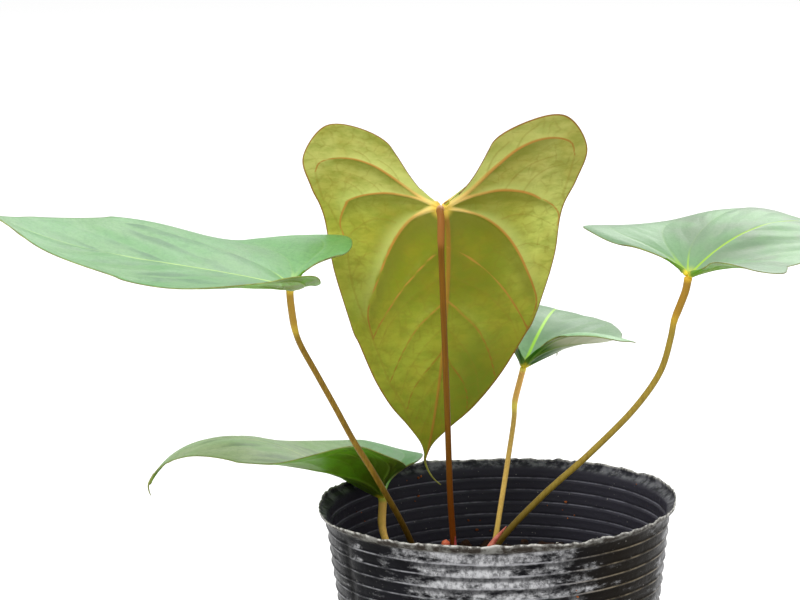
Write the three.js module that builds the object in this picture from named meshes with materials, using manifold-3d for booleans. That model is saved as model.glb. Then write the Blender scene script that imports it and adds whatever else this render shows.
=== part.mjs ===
// Potted anthurium: five heart-shaped leaves on thin stalks that grow from a short rootstock in the
// mix of a ribbed nursery pot of soft black plastic. Millimetres, +Z up. The origin is the centre of
// the pot's base, +X is the plant's right side and +Y its back.
import * as THREE from "three";
import { mergeVertices } from "three/addons/utils/BufferGeometryUtils.js";
import Module from "manifold-3d";

const wasm = await Module();
wasm.setup();

// Driving dimensions of the pot.
const POT_HEIGHT = 110;
const RIM_RADIUS = 58.7;
const BASE_RADIUS = 45;
const BASE_BEVEL = 1.5;
const WALL = 0.9;
const FLOOR = 1.5;
const RIB_PITCH = 4.2;
const RIB_DEPTH = 0.8;
const FIRST_RIB = 11;
const LIP_START = 105;
const LIP_FLARE = 2;
const CUT_DEPTH = 0.7;
const HOLE_RADIUS = 4;
const HOLE_RING = 30;
const HOLE_COUNT = 8;
const POT_SIDES = 36;

// Driving dimensions of what stands in the pot.
const CLEARANCE = 0.3;
const MIX_TOP = 80;
const MIX_RELIEF = 1.3;
const MIX_EDGE_DROP = 3;
const ROOTSTOCK = { centre: [-17, 1, 74], radii: [15, 9.5, 10] };
const ROOT = { count: 5, radius: 1.9, tipRadius: 0.8, reach: 26, strayReach: 8, strayHeight: 4 };
const BLADE_THICKNESS = 0.7;
const JOINT_VEIN = 1.1;
const TIP_VEIN = 0.4;
const SIDE_VEIN = 0.8;
const LATERAL_VEIN = 0.5;
const TAIL_RADIUS = 0.6;
const RIPPLE = 0.4;
const MARGIN_WAVE = 0.3;
const STALK_FOOT = 0.45;
const STALK_JOINT = 0.22;
const STALK_NECK = 0.35;
const JOINT_LENGTH = 16;

// Half of a flat blade, in units of its length from stalk joint to tip. Each row runs from its root on
// the midrib, past a control point, to the margin: [root along, control across, control along, margin
// across, margin along]. The first row is the edge of the notch, the last one the drip tip.
const ROWS = [
  [0.0, 0.115, -0.075, 0.19, -0.255],
  [0.0, 0.2, -0.16, 0.31, -0.335],
  [0.0, 0.29, -0.25, 0.45, -0.34],
  [0.0, 0.36, -0.29, 0.535, -0.2],
  [0.0, 0.335, -0.21, 0.505, -0.065],
  [0.0, 0.29, -0.12, 0.455, 0.06],
  [0.0, 0.27, -0.02, 0.415, 0.27],
  [0.02, 0.23, 0.05, 0.338, 0.49],
  [0.19, 0.18, 0.31, 0.302, 0.555],
  [0.39, 0.13, 0.47, 0.228, 0.69],
  [0.57, 0.085, 0.63, 0.155, 0.79],
  [0.73, 0.045, 0.77, 0.08, 0.865],
  [0.88, 0.012, 0.91, 0.022, 0.935],
  [1.0, 0.0, 1.0, 0.0, 1.0],
];
const COLUMNS = [0, 0.5, 1, 1.5, 2, 2.5, 3, 3.5, 4, 5, 6, 7, 7.5, 8, 8.5, 9, 9.5, 10, 10.5, 11, 12, 13];
const STEPS_ACROSS = 6;
const FIRST_LATERAL = 7;

// The leaves. joint is where the stalk meets the blade. heading, tilt and roll turn the blade's plane:
// heading is the tip's compass angle from +X, tilt its climb. rise and bend give the climb out of that
// plane at the joint, and its change per blade length, in nine directions round the joint every 45
// degrees: from the left edge of the notch, over the tip in the middle, to the right edge. droop is
// the further bend towards the tip, lobes and spread scale the two sides as [left, right]. tail is the
// thread-like drip tip, as steps from the tip, and stalk the stalk's route up to the blade.
const LEAVES = [
  {
    joint: [-16.5, 5, 210.5], length: 90, width: 1.02, heading: 95, tilt: -72, roll: -19,
    rise: [13, 22, 10, 2, -8, 14, 20, 5, -20], bend: [8, -15, -25, -40, -3, 9, 21, 10, -18],
    droop: -12, lobes: [0.86, 1.12], spread: [0.93, 1.01],
    tail: [[1.1, 0, -3.6], [2.9, -0.4, -6.4], [5.2, -1, -8.4]],
    stalkRadius: 1.15, colour: 0x9c9a3a, stalkColour: 0x7d4b1e,
    stalk: [[-14.5, 0.5, 76], [-15.1, 0, 95], [-15.8, -1, 111], [-16.2, -3, 146], [-16.7, -3.5, 180],
      [-16.9, -2.6, 200], [-16.7, 0, 208]],
  },
  {
    joint: [-66.5, -45, 195], length: 106, width: 1.04, heading: 190, tilt: 6, roll: 5,
    rise: [20, 16, 12, 13, 13, 13, 10, 12, 9], bend: [-6, 20, 13, -30, -38, -22, -36, -28, -26],
    droop: 55, lobes: [0.64, 0.98], spread: [0.76, 0.91],
    tail: [[-2.8, -0.8, 0.2], [-5, -1.5, -0.8]],
    stalkRadius: 1, colour: 0x9fceaa, stalkColour: 0x968232,
    stalk: [[-23.5, -5, 76], [-29, -9.5, 97.5], [-40.7, -22, 125], [-47.4, -26.5, 138],
      [-53.5, -31, 151.5], [-59.5, -35.5, 164.5], [-63.9, -38.5, 174], [-65.4, -40.5, 179],
      [-66.4, -43.5, 187]],
  },
  {
    joint: [66.2, 5, 185], length: 81, width: 0.99, heading: 38, tilt: -14, roll: -1,
    rise: [4, 26, 45, 52, 48, 33, 28, 22, 20], bend: [-25, -55, -95, -68, -55, -50, -58, -44, -32],
    droop: -20, lobes: [1.1, 1.0], spread: [0.8, 0.82],
    tail: [[1.8, 1.2, -1.2], [2.8, 2.2, -3]],
    stalkRadius: 1.1, colour: 0x9fceaa, stalkColour: 0x968232,
    stalk: [[-12, -3.5, 76], [0.2, -3, 96], [14.6, -2, 111], [32.2, 0, 126], [48.2, 2, 141.5],
      [56.3, 3, 153], [59.8, 3.5, 164], [61.1, 3.8, 170], [62.9, 4, 174.5], [65.1, 4.5, 180]],
  },
  {
    joint: [11.5, 52, 144.5], length: 79, width: 1.0, heading: 74, tilt: 6, roll: -16,
    rise: [40, 55, 60, 40, 35, 37, 47, 70, 58], bend: [-60, -63, -80, -98, -74, -68, -72, -115, -102],
    droop: -36, lobes: [1.0, 1.17], spread: [1.2, 0.88],
    tail: [[0.2, 0.8, -1.6], [0, 1, -3]],
    stalkRadius: 0.9, colour: 0x9fceaa, stalkColour: 0x968232,
    stalk: [[-6, 4, 76], [-0.8, 8, 94], [1.4, 18, 102], [4.8, 32, 116], [7.5, 42, 128.5],
      [8, 46, 133.3], [9.8, 50, 139]],
  },
  {
    joint: [-39, 25.5, 106], length: 92, width: 0.91, heading: 174, tilt: -4, roll: -4,
    rise: [52, 39, 45, 33, 30, 31, 35, 28, 31], bend: [-35, -64, -40, -16, 37, -11, -64, -81, -45],
    droop: -128, lobes: [0.73, 0.86], spread: [0.87, 0.8],
    tail: [[0, -0.4, -2], [0.6, -0.8, -3.8]],
    stalkRadius: 1.2, colour: 0x8fb678, stalkColour: 0xb0a04c,
    stalk: [[-26, 6, 76], [-34, 10, 86], [-38, 15, 92.5], [-39.3, 20, 97], [-39.2, 23.5, 100.5]],
  },
];

// The papery sheaths and the new leaf at the stalks' feet, all with fine points.
const SHOOT_POINT = 0.1;
const SHOOTS = [
  { name: "cataphyll_1", radius: 1.9, colour: 0xc8643c,
    route: [[-18.5, -4, 76], [-18.8, -4.5, 88], [-17.8, -3.6, 96.5]] },
  { name: "cataphyll_2", radius: 1.3, colour: 0xb83c28,
    route: [[-15.2, -5.2, 76], [-14.6, -5.2, 88], [-14.5, -3.6, 98.8]] },
  { name: "new_leaf", radius: 1.5, colour: 0xc86450,
    route: [[-10, -7.4, 78], [-2.8, -6.6, 95.5], [2.8, -6.2, 102.5]] },
];

// Colours of the pot and its filling.
const POT_COLOUR = 0x1e1e24;
const MIX_COLOUR = 0x33241a;
const ROOTSTOCK_COLOUR = 0x6b4a2c;

const radians = THREE.MathUtils.degToRad;

// A closed BufferGeometry as a manifold solid, its vertices merged and its faces pointing out.
function toSolid(geometry) {
  const bare = new THREE.BufferGeometry();
  bare.setAttribute("position", geometry.getAttribute("position"));
  bare.setIndex(geometry.getIndex());
  const merged = mergeVertices(bare, 1e-3);
  const position = merged.getAttribute("position");
  const index = merged.getIndex();
  const a = new THREE.Vector3();
  const b = new THREE.Vector3();
  const c = new THREE.Vector3();
  const triangles = [];
  let volume = 0;
  for (let i = 0; i < index.count; i += 3) {
    const corners = [index.getX(i), index.getX(i + 1), index.getX(i + 2)];
    if (new Set(corners).size === 3) {
      triangles.push(corners);
      a.fromBufferAttribute(position, corners[0]);
      b.fromBufferAttribute(position, corners[1]);
      c.fromBufferAttribute(position, corners[2]);
      volume += a.dot(b.cross(c));
    }
  }
  if (volume < 0) triangles.forEach((corners) => corners.reverse());
  const vertProperties = Float32Array.from(position.array);
  const triVerts = Uint32Array.from(triangles.flat());
  return new wasm.Manifold(new wasm.Mesh({ numProp: 3, vertProperties, triVerts }));
}

function toMesh(name, solid, colour, roughness) {
  const { vertProperties, triVerts } = solid.getMesh();
  const geometry = new THREE.BufferGeometry();
  geometry.setAttribute("position", new THREE.BufferAttribute(vertProperties, 3));
  geometry.setIndex(new THREE.BufferAttribute(triVerts, 1));
  geometry.computeVertexNormals();
  const material = new THREE.MeshStandardMaterial({ color: colour, roughness, metalness: 0 });
  const mesh = new THREE.Mesh(geometry, material);
  mesh.name = name;
  return mesh;
}

// A lathe around Z from [radius, height] pairs.
function turned(profile) {
  const points = profile.map(([radius, height]) => new THREE.Vector2(radius, height));
  return new THREE.LatheGeometry(points, POT_SIDES).rotateX(Math.PI / 2);
}

// A seeded draw between -1 and 1.
function drawer(seed) {
  let state = seed;
  return () => {
    state = (state * 16807) % 2147483647;
    return (state / 2147483647) * 2 - 1;
  };
}

// The pot.
function wallRadius(height) {
  return BASE_RADIUS + ((RIM_RADIUS - BASE_RADIUS) * height) / POT_HEIGHT;
}

function ribbedWall(from, offset) {
  const wall = [];
  for (let foot = FIRST_RIB; foot < LIP_START - RIB_PITCH; foot += RIB_PITCH) {
    if (foot >= from) {
      const crest = foot + RIB_PITCH / 2;
      wall.push([wallRadius(foot) + offset, foot]);
      wall.push([wallRadius(crest) + RIB_DEPTH + offset, crest]);
    }
  }
  wall.push([wallRadius(LIP_START) + offset, LIP_START]);
  return wall;
}

// How far the cut edge of the rim stands above or below its mean height.
function cutEdge(angle) {
  const wide = 0.6 * Math.sin(3 * angle + 0.5);
  const fine = 0.3 * Math.sin(7 * angle) + 0.25 * Math.sin(13 * angle + 2);
  return CUT_DEPTH * (wide + fine);
}

function potSolid() {
  const lipRadius = RIM_RADIUS + LIP_FLARE;
  const lipFoot = [lipRadius - 0.2, LIP_START + 1.6];
  const outside = [
    [0, 0],
    [BASE_RADIUS - BASE_BEVEL, 0],
    [BASE_RADIUS, BASE_BEVEL],
    ...ribbedWall(FIRST_RIB, 0),
    lipFoot,
    [lipRadius, POT_HEIGHT],
  ];
  const inside = [
    [0, FLOOR],
    [wallRadius(FLOOR) - WALL, FLOOR],
    ...ribbedWall(MIX_TOP, -WALL),
    [lipFoot[0] - WALL, lipFoot[1]],
    [lipRadius - WALL, POT_HEIGHT],
  ];
  const shell = turned([...outside, ...inside.reverse()]);
  const position = shell.getAttribute("position");
  for (let i = 0; i < position.count; i += 1) {
    if (position.getZ(i) > POT_HEIGHT - 0.1) {
      const angle = Math.atan2(position.getY(i), position.getX(i));
      position.setZ(i, POT_HEIGHT + cutEdge(angle));
    }
  }
  let pot = toSolid(shell);
  for (let k = 0; k < HOLE_COUNT; k += 1) {
    const angle = (k / HOLE_COUNT) * 2 * Math.PI;
    const hole = new THREE.CylinderGeometry(HOLE_RADIUS, HOLE_RADIUS, 4 * FLOOR, 12);
    hole.rotateX(Math.PI / 2);
    hole.translate(HOLE_RING * Math.cos(angle), HOLE_RING * Math.sin(angle), FLOOR / 2);
    pot = pot.subtract(toSolid(hole));
  }
  return pot;
}

// The potting mix, with a rough top.
function mixSolid() {
  const bottom = FLOOR + CLEARANCE;
  const side = (height) => wallRadius(height) - WALL - CLEARANCE;
  const rings = [0.96, 0.84, 0.7, 0.56, 0.42, 0.28, 0.14];
  const edge = MIX_TOP - MIX_EDGE_DROP;
  const body = turned([
    [0, bottom],
    [side(bottom), bottom],
    [side(edge), edge],
    ...rings.map((share) => [side(edge) * share, MIX_TOP]),
    [0, MIX_TOP],
  ]);
  const relief = new Map();
  const draw = drawer(7);
  const position = body.getAttribute("position");
  for (let i = 0; i < position.count; i += 1) {
    if (position.getZ(i) > edge + 1) {
      const key = `${Math.round(10 * position.getX(i))} ${Math.round(10 * position.getY(i))}`;
      if (!relief.has(key)) relief.set(key, MIX_RELIEF * draw());
      position.setZ(i, MIX_TOP + relief.get(key));
    }
  }
  return toSolid(body);
}

function curveThrough(route) {
  const points = route.map((point) => new THREE.Vector3(...point));
  return new THREE.CatmullRomCurve3(points, false, "centripetal");
}

// A round, closed stem along a route, made larger all over by extra. radiusAt takes the share of the
// way along it.
function stemSolid(route, radiusAt, sides, steps, extra) {
  const curve = curveThrough(route);
  const frames = curve.computeFrenetFrames(steps, false);
  const positions = [];
  const index = [];
  for (let i = 0; i <= steps; i += 1) {
    const centre = curve.getPointAt(i / steps);
    const radius = radiusAt(i / steps) + extra;
    if (i === 0) centre.addScaledVector(frames.tangents[0], -extra);
    if (i === steps) centre.addScaledVector(frames.tangents[steps], extra);
    for (let j = 0; j < sides; j += 1) {
      const angle = (j / sides) * 2 * Math.PI;
      const point = centre.clone();
      point.addScaledVector(frames.normals[i], radius * Math.cos(angle));
      point.addScaledVector(frames.binormals[i], radius * Math.sin(angle));
      positions.push(point.x, point.y, point.z);
    }
  }
  for (let i = 0; i < steps; i += 1) {
    for (let j = 0; j < sides; j += 1) {
      const a = i * sides + j;
      const b = i * sides + ((j + 1) % sides);
      index.push(a, b, b + sides, a, b + sides, a + sides);
    }
  }
  for (let j = 1; j < sides - 1; j += 1) {
    const top = steps * sides;
    index.push(0, j + 1, j);
    index.push(top, top + j, top + j + 1);
  }
  const geometry = new THREE.BufferGeometry();
  geometry.setAttribute("position", new THREE.Float32BufferAttribute(positions, 3));
  geometry.setIndex(index);
  return toSolid(geometry);
}

// A leaf stalk: thicker at the foot, swollen in the joint, and ending just below the blade.
function stalkSolid(leaf, extra) {
  const belowBlade = BLADE_THICKNESS / 2 + JOINT_VEIN + 2 * CLEARANCE;
  const end = new THREE.Vector3(...leaf.joint).addScaledVector(bladeFrame(leaf).normal, -belowBlade);
  const route = [...leaf.stalk, end.toArray()];
  const length = curveThrough(route).getLength();
  const swelling = Math.min(JOINT_LENGTH / length, 0.3);
  const radiusAt = (share) => {
    const foot = STALK_FOOT * Math.exp(-share * 14);
    const joint = STALK_JOINT * THREE.MathUtils.smoothstep(share, 1 - swelling, 1 - swelling / 2);
    const neck = STALK_NECK * THREE.MathUtils.smoothstep(share, 0.98, 1);
    return leaf.stalkRadius * (1 + foot + joint - neck);
  };
  return stemSolid(route, radiusAt, 8, Math.max(12, Math.round(length / 7)), extra);
}

function shootSolid(shoot, extra) {
  const radiusAt = (share) => THREE.MathUtils.lerp(shoot.radius, SHOOT_POINT, share ** 3);
  return stemSolid(shoot.route, radiusAt, 8, 8, extra);
}

// The rootstock with its roots, which spread and run down the mix.
function rootstockSolid(extra) {
  const { centre, radii } = ROOTSTOCK;
  const knob = new THREE.SphereGeometry(1, 16, 10).rotateX(Math.PI / 2);
  knob.scale(radii[0] + extra, radii[1] + extra, radii[2] + extra).translate(...centre);
  let solid = toSolid(knob);
  const draw = drawer(31);
  for (let k = 0; k < ROOT.count; k += 1) {
    const angle = (k / ROOT.count) * 2 * Math.PI + 0.3 * draw();
    const reach = ROOT.reach + ROOT.strayReach * draw();
    const at = (spread, height) => [
      THREE.MathUtils.lerp(centre[0], 0, spread) + spread * reach * Math.cos(angle),
      THREE.MathUtils.lerp(centre[1], 0, spread) + spread * reach * Math.sin(angle),
      height,
    ];
    const bow = at(0.6, 62 + ROOT.strayHeight * draw());
    const tip = at(1, 12 + ROOT.strayHeight * draw());
    const radiusAt = (share) => THREE.MathUtils.lerp(ROOT.radius, ROOT.tipRadius, share);
    const route = [at(0.1, 71), bow, at(1, 44), at(1.1, 26), tip];
    solid = solid.add(stemSolid(route, radiusAt, 5, 7, extra));
  }
  return solid;
}

// The blades.
// A smooth value at u between here and there, with the values before and after them.
function smoothBetween(before, here, there, after, u) {
  const square = 2 * before - 5 * here + 4 * there - after;
  const cube = 3 * here - before - 3 * there + after;
  return 0.5 * (2 * here + (there - before) * u + square * u * u + cube * u ** 3);
}

function flatPoint(column, t) {
  const last = ROWS.length - 1;
  const i = Math.min(Math.floor(column), last - 1);
  const before = ROWS[Math.max(i - 1, 0)];
  const after = ROWS[Math.min(i + 2, last)];
  const row = ROWS[i].map((here, k) => smoothBetween(before[k], here, ROWS[i + 1][k], after[k], column - i));
  const [root, controlAcross, controlAlong, marginAcross, marginAlong] = row;
  const across = 2 * t * (1 - t) * controlAcross + t * t * marginAcross;
  const along = (1 - t) ** 2 * root + 2 * t * (1 - t) * controlAlong + t * t * marginAlong;
  return [across, along];
}

// A smooth value between the nine directions round the joint.
function byDirection(values, angle) {
  const place = THREE.MathUtils.clamp((angle / Math.PI) * 4 + 4, 0, 7.9999);
  const i = Math.floor(place);
  const before = i === 0 ? 2 * values[0] - values[1] : values[i - 1];
  const after = i === 7 ? 2 * values[8] - values[7] : values[i + 2];
  return smoothBetween(before, values[i], values[i + 1], after, place - i);
}

function bladeFrame(leaf) {
  const heading = radians(leaf.heading);
  const tilt = radians(leaf.tilt);
  const roll = radians(leaf.roll);
  const tipward = new THREE.Vector3(
    Math.cos(tilt) * Math.cos(heading), Math.cos(tilt) * Math.sin(heading), Math.sin(tilt));
  const level = new THREE.Vector3(Math.sin(heading), -Math.cos(heading), 0);
  const upright = new THREE.Vector3().crossVectors(level, tipward);
  const right = level.clone().multiplyScalar(Math.cos(roll)).addScaledVector(upright, Math.sin(roll));
  const normal = upright.clone().multiplyScalar(Math.cos(roll)).addScaledVector(level, -Math.sin(roll));
  return { tipward, right, normal };
}

// Where a point of the flat blade lies on the grown one, side being 1 on the right and -1 on the left.
function grownPoint(leaf, frame, side, [flatAcross, flatAlong]) {
  const half = side > 0 ? 1 : 0;
  const across = flatAcross * side * leaf.width;
  const along = flatAlong < 0 ? flatAlong * leaf.lobes[half] : flatAlong;
  const reach = Math.hypot(across, along);
  const angle = reach < 1e-9 ? 0 : Math.atan2(across, along);
  const turn = angle * leaf.spread[half];
  const rise = radians(byDirection(leaf.rise, angle));
  const bend = radians(byDirection(leaf.bend, angle));
  const droop = radians(leaf.droop) * Math.max(Math.cos(angle), 0) ** 2;
  const slices = 14;
  let out = 0;
  let up = 0;
  for (let i = 0; i < slices; i += 1) {
    const way = (reach * (i + 0.5)) / slices;
    const climb = rise + bend * way + droop * way * way;
    out += (Math.cos(climb) * reach * leaf.length) / slices;
    up += (Math.sin(climb) * reach * leaf.length) / slices;
  }
  return new THREE.Vector3(...leaf.joint)
    .addScaledVector(frame.tipward, out * Math.cos(turn))
    .addScaledVector(frame.right, out * Math.sin(turn))
    .addScaledVector(frame.normal, up);
}

// 1 on a side vein and -1 half way to the next.
function veinPhase(column) {
  return column < FIRST_LATERAL ? Math.cos(Math.PI * (column - 3)) : Math.cos(2 * Math.PI * column);
}

function veinHeight(column, t) {
  const tipward = column / (ROWS.length - 1);
  const midrib = t === 0 ? THREE.MathUtils.lerp(JOINT_VEIN, TIP_VEIN, tipward) : 0;
  const side = column < FIRST_LATERAL + 0.5 ? SIDE_VEIN : LATERAL_VEIN;
  return Math.max(midrib, side * (1 - t) * Math.max(veinPhase(column), 0));
}

function bladeSolid(leaf) {
  const frame = bladeFrame(leaf);
  const last = COLUMNS.length - 1;
  const vertices = [];
  const swell = [];
  const known = new Map();

  function vertexAt(side, i, j) {
    const column = COLUMNS[i];
    const t = j / STEPS_ACROSS;
    let key = `${side} ${i} ${j}`;
    if (i === last) key = "tip";
    else if (j === 0) key = column < FIRST_LATERAL ? "joint" : `midrib ${i}`;
    if (!known.has(key)) {
      known.set(key, vertices.length);
      const point = grownPoint(leaf, frame, side, flatPoint(column, t));
      vertices.push(point);
      const quilt = -RIPPLE * veinPhase(column) * Math.sin(Math.PI * t);
      const wave = i === last ? 0 : MARGIN_WAVE * t ** 3 * Math.sin(1.9 * column + side + leaf.length);
      swell.push({ lift: quilt + wave, vein: key === "joint" ? JOINT_VEIN : veinHeight(column, t) });
    }
    return known.get(key);
  }

  const faces = [];
  for (const side of [1, -1]) {
    for (let i = 0; i < last; i += 1) {
      for (let j = 0; j < STEPS_ACROSS; j += 1) {
        const near = vertexAt(side, i, j);
        const outer = vertexAt(side, i, j + 1);
        const onward = vertexAt(side, i + 1, j);
        const across = vertexAt(side, i + 1, j + 1);
        for (const face of [[near, outer, across], [near, across, onward]]) {
          if (new Set(face).size === 3) faces.push(side > 0 ? face : face.reverse());
        }
      }
    }
  }
  const normals = vertices.map(() => new THREE.Vector3());
  for (const [a, b, c] of faces) {
    const first = vertices[b].clone().sub(vertices[a]);
    const second = vertices[c].clone().sub(vertices[a]);
    const normal = first.cross(second);
    [a, b, c].forEach((corner) => normals[corner].add(normal));
  }
  normals.forEach((normal) => normal.normalize());

  const edge = [vertexAt(1, 0, 0)];
  for (let j = 1; j <= STEPS_ACROSS; j += 1) edge.push(vertexAt(1, 0, j));
  for (let i = 1; i <= last; i += 1) edge.push(vertexAt(1, i, STEPS_ACROSS));
  for (let i = last - 1; i >= 0; i -= 1) edge.push(vertexAt(-1, i, STEPS_ACROSS));
  for (let j = STEPS_ACROSS - 1; j > 0; j -= 1) edge.push(vertexAt(-1, 0, j));

  const count = vertices.length;
  const positions = [];
  const half = BLADE_THICKNESS / 2;
  for (const face of [1, -1]) {
    vertices.forEach((vertex, k) => {
      const { lift, vein } = swell[k];
      const offset = lift + (face > 0 ? half : -half - vein);
      positions.push(...vertex.clone().addScaledVector(normals[k], offset).toArray());
    });
  }
  const index = [];
  for (const [a, b, c] of faces) index.push(a, b, c, c + count, b + count, a + count);
  edge.forEach((a, k) => {
    const b = edge[(k + 1) % edge.length];
    index.push(a, a + count, b + count, a, b + count, b);
  });
  const geometry = new THREE.BufferGeometry();
  geometry.setAttribute("position", new THREE.Float32BufferAttribute(positions, 3));
  geometry.setIndex(index);
  return toSolid(geometry).add(tailSolid(leaf, frame));
}

// The drip tip, rooted in the end of the midrib.
function tailSolid(leaf, frame) {
  const tip = grownPoint(leaf, frame, 1, [0, 1]);
  const neck = grownPoint(leaf, frame, 1, [0, 0.95]);
  const steps = leaf.tail.map((step) => tip.clone().add(new THREE.Vector3(...step)));
  const route = [neck, tip, ...steps].map((point) => point.toArray());
  return stemSolid(route, (share) => TAIL_RADIUS * (1 - 0.5 * share), 6, 6, 0);
}

// The plant and its pot. Each piece is cut clear of the ones that it touches.
const plant = new THREE.Group();
plant.add(toMesh("pot", potSolid(), POT_COLOUR, 0.35));

let mix = mixSolid();
let rootstock = rootstockSolid(0);
mix = mix.subtract(rootstockSolid(CLEARANCE));
LEAVES.forEach((leaf, k) => {
  const grownStalk = stalkSolid(leaf, CLEARANCE);
  mix = mix.subtract(grownStalk);
  rootstock = rootstock.subtract(grownStalk);
  plant.add(toMesh(`petiole_${k + 1}`, stalkSolid(leaf, 0), leaf.stalkColour, 0.55));
  plant.add(toMesh(`blade_${k + 1}`, bladeSolid(leaf), leaf.colour, 0.5));
});
for (const shoot of SHOOTS) {
  const grownShoot = shootSolid(shoot, CLEARANCE);
  mix = mix.subtract(grownShoot);
  rootstock = rootstock.subtract(grownShoot);
  plant.add(toMesh(shoot.name, shootSolid(shoot, 0), shoot.colour, 0.6));
}
plant.add(toMesh("rootstock", rootstock, ROOTSTOCK_COLOUR, 0.9));
plant.add(toMesh("substrate", mix, MIX_COLOUR, 0.95));

export default plant;
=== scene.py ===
"""Looks of the potted anthurium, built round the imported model. Blender works in metres, +Z up; the
sizes below are millimetres, and MM turns them into metres where a mesh is made."""
import math

import bpy
import numpy as np
from mathutils import Matrix, Vector, noise


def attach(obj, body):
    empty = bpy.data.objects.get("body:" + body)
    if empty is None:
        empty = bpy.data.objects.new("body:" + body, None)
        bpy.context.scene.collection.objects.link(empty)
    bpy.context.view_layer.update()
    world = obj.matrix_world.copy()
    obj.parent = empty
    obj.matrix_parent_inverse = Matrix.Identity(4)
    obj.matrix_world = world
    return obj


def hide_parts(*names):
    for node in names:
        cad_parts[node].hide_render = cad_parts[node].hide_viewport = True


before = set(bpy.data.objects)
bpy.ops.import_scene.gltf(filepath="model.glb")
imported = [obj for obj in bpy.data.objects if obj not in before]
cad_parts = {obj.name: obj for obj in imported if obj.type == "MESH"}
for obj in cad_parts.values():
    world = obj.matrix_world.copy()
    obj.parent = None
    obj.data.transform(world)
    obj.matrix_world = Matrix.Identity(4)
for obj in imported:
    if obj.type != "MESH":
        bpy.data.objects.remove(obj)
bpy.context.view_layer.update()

MM = 0.001

# The camera: where it stands, how far it looks down, how far the picture leans, and its long lens.
CAMERA_PLACE = (-31.1, -1356.3, 463.6)
CAMERA_PITCH = 11.8
CAMERA_ROLL = 1.5
CAMERA_LENS = 185.85
SENSOR_WIDTH = 36

# The pot.
POT_HEIGHT = 110
RIM_RADIUS = 58.7
BASE_RADIUS = 45
WALL = 0.9
POT_FLOOR = 1.5
RIB_PITCH = 4.2
FIRST_RIB = 11
LIP_START = 105
LIP_FLARE = 2
CUT_DEPTH = 0.7
HOLE_RADIUS = 4
HOLE_RING = 30
HOLE_COUNT = 8
MIX_TOP = 80

# The blades' thickness, and how far their margins wave.
BLADE_THICKNESS = 0.6
MARGIN_WAVE = 0.3

# Half of a flat blade, in units of its length from stalk joint to tip. Each row runs from its root on
# the midrib, past a control point, to the margin: root along, control across, control along, margin
# across, margin along. The first row is the edge of the notch, the last one the drip tip.
ROWS = np.array([
    (0.0, 0.115, -0.075, 0.19, -0.255),
    (0.0, 0.2, -0.16, 0.31, -0.335),
    (0.0, 0.29, -0.25, 0.45, -0.34),
    (0.0, 0.36, -0.29, 0.535, -0.2),
    (0.0, 0.335, -0.21, 0.505, -0.065),
    (0.0, 0.29, -0.12, 0.455, 0.06),
    (0.0, 0.27, -0.02, 0.415, 0.27),
    (0.02, 0.23, 0.05, 0.338, 0.49),
    (0.19, 0.18, 0.31, 0.302, 0.555),
    (0.39, 0.13, 0.47, 0.228, 0.69),
    (0.57, 0.085, 0.63, 0.155, 0.79),
    (0.73, 0.045, 0.77, 0.08, 0.865),
    (0.88, 0.012, 0.91, 0.022, 0.935),
    (1.0, 0.0, 1.0, 0.0, 1.0),
])
FIRST_LATERAL = 7

# A row before the first one, which only sets how the margin leaves the notch.
NOTCH_ROW = np.array([(0.0, 0.05, -0.03, 0.2, -0.11)])

# The veins of half a blade, as (across, along) in the same units: half-width in mm at the root and at
# the end, height below the blade at both, and the way the vein takes. The first three of MAIN_VEINS
# start at the joint.
MIDRIB = ((0.95, 0.4, 0.9, 0.35, ((0, 0), (0, 1))),)
MAIN_VEINS = (
    (0.9, 0.28, 0.8, 0.2, (
        (0, 0), (0.075, -0.045), (0.14, -0.1), (0.2, -0.155), (0.27, -0.21), (0.345, -0.24),
        (0.42, -0.24), (0.472, -0.215), (0.487, -0.165))),
    (0.8, 0.28, 0.7, 0.2, (
        (0, 0), (0.08, -0.036), (0.15, -0.052), (0.21, -0.058), (0.268, -0.05), (0.32, -0.033),
        (0.365, -0.004), (0.4, 0.04), (0.415, 0.085), (0.404, 0.14))),
    (0.7, 0.28, 0.6, 0.2, (
        (0, 0), (0.045, 0.008), (0.085, 0.024), (0.13, 0.05), (0.174, 0.094), (0.212, 0.15),
        (0.246, 0.222), (0.272, 0.296), (0.294, 0.365), (0.308, 0.43), (0.296, 0.485),
        (0.275, 0.535))),
    (0.45, 0.3, 0.4, 0.15, (
        (0, 0.15), (0.03, 0.17), (0.075, 0.215), (0.13, 0.28), (0.18, 0.345), (0.225, 0.42),
        (0.262, 0.49), (0.277, 0.53))),
    (0.42, 0.28, 0.35, 0.15, (
        (0, 0.365), (0.05, 0.42), (0.105, 0.485), (0.148, 0.57), (0.176, 0.65), (0.19, 0.7))),
    (0.4, 0.25, 0.3, 0.15, ((0, 0.57), (0.035, 0.625), (0.078, 0.69), (0.1, 0.745), (0.107, 0.8))),
)
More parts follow.
